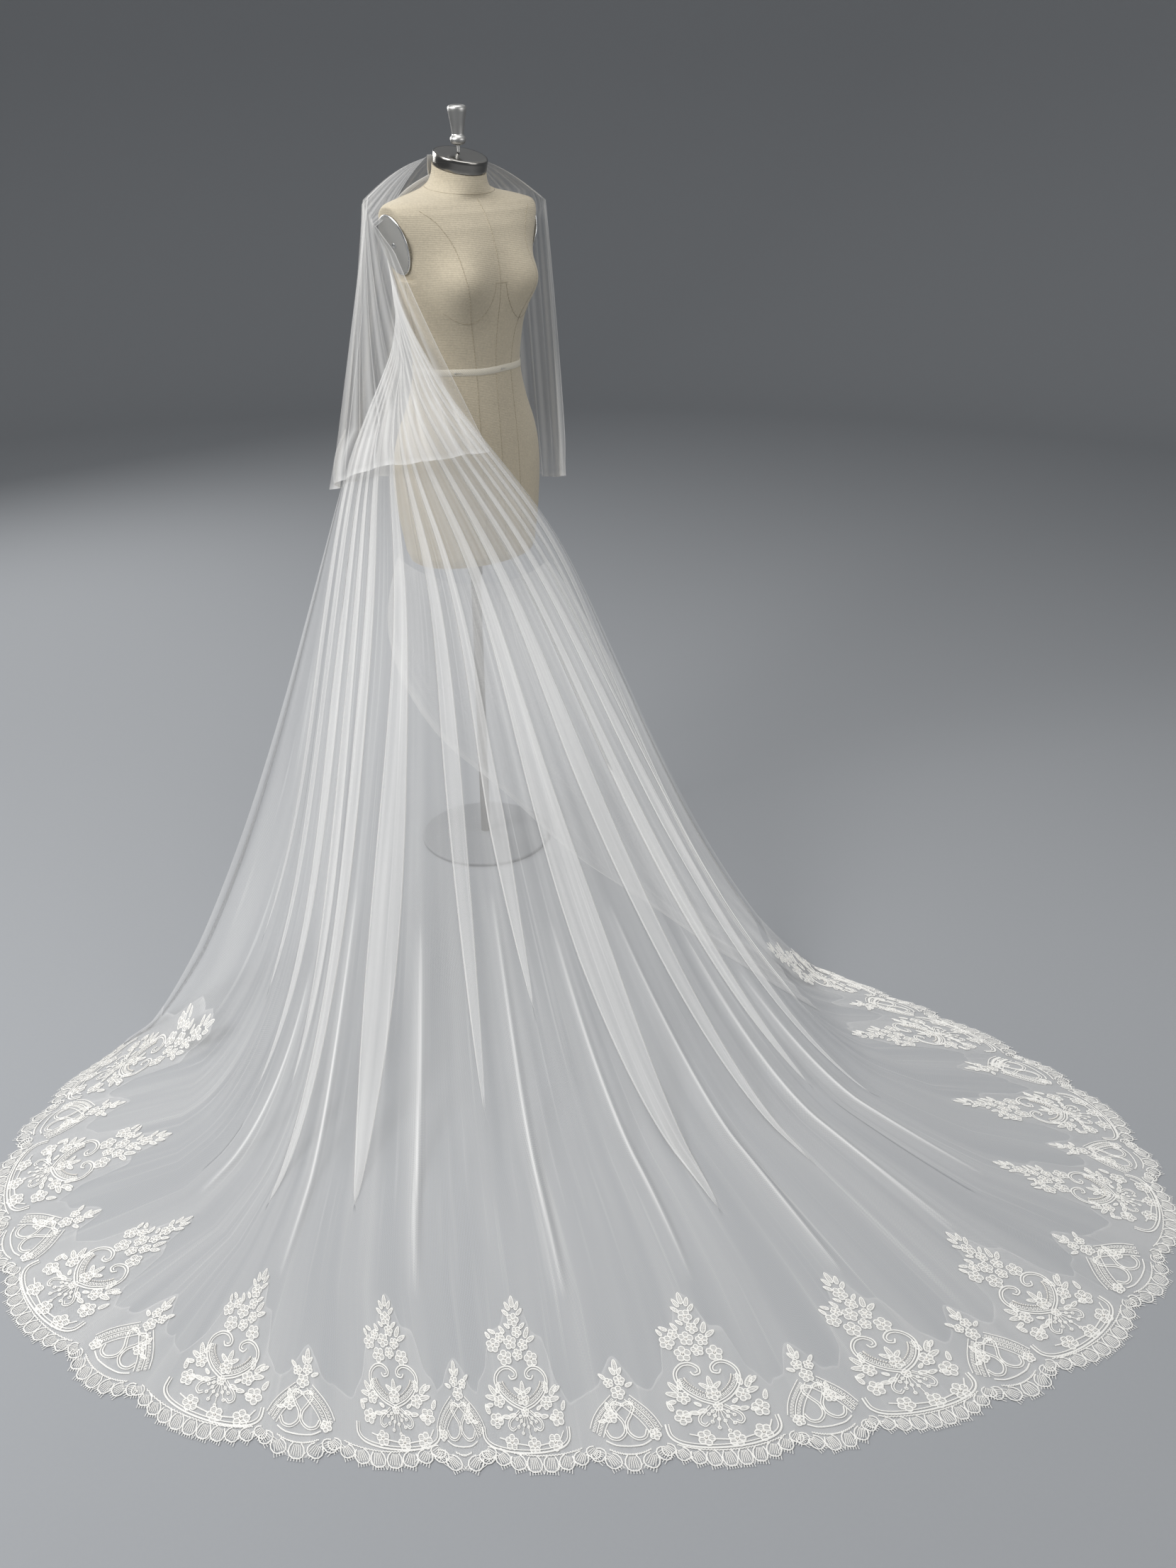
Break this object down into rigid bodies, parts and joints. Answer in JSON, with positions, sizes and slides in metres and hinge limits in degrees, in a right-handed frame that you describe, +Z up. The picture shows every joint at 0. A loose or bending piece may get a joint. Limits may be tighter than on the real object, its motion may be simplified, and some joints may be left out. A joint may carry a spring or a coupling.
{
  "type": "bridal veil on dress form",
  "caption": "Two-tier sheer veil with a deep scalloped lace border, gathered at the neck of a limbless dress form and spread over the floor as a train.",
  "frame": {"origin": "middle of the stand's underside, on the floor", "axes": "+Z up, -Y towards the middle of the train's hem; the dress form's front looks towards +X and -Y, 44 degrees from -Y"},
  "size_m": [1.9209, 1.9131, 1.5665],
  "materials": {
    "form_linen": "close linen jersey over a papier mache form",
    "brushed_steel": "turned and brushed",
    "stand_enamel": "satin stove enamel",
    "plate_acrylic": "polished, with a bright rim",
    "ribbon": "gathered net on a narrow band",
    "tulle": "fine hexagonal net, sheer",
    "lace": "corded embroidery on net with small sequins"
  },
  "bodies": {
    "root": {"form_torso": "form_linen", "neck_cap": "brushed_steel", "finial": "brushed_steel", "stand_pole": "brushed_steel", "stand_base": "stand_enamel", "arm_plate_right": "plate_acrylic", "arm_plate_left": "plate_acrylic", "head_band": "ribbon", "long_tier_head": "tulle", "long_tier_wrap": "tulle", "train_1": "tulle", "train_2": "tulle", "train_3": "tulle", "train_4": "tulle", "train_5": "tulle", "train_6": "tulle", "train_folded_layer": "tulle", "short_tier_right_fall": "tulle", "short_tier_back": "tulle", "short_tier_left_fall": "tulle", "lace_border_1": "lace", "lace_border_2": "lace", "lace_border_3": "lace", "lace_border_4": "lace", "lace_border_5": "lace", "lace_border_6": "lace"}
  },
  "joints": []
}
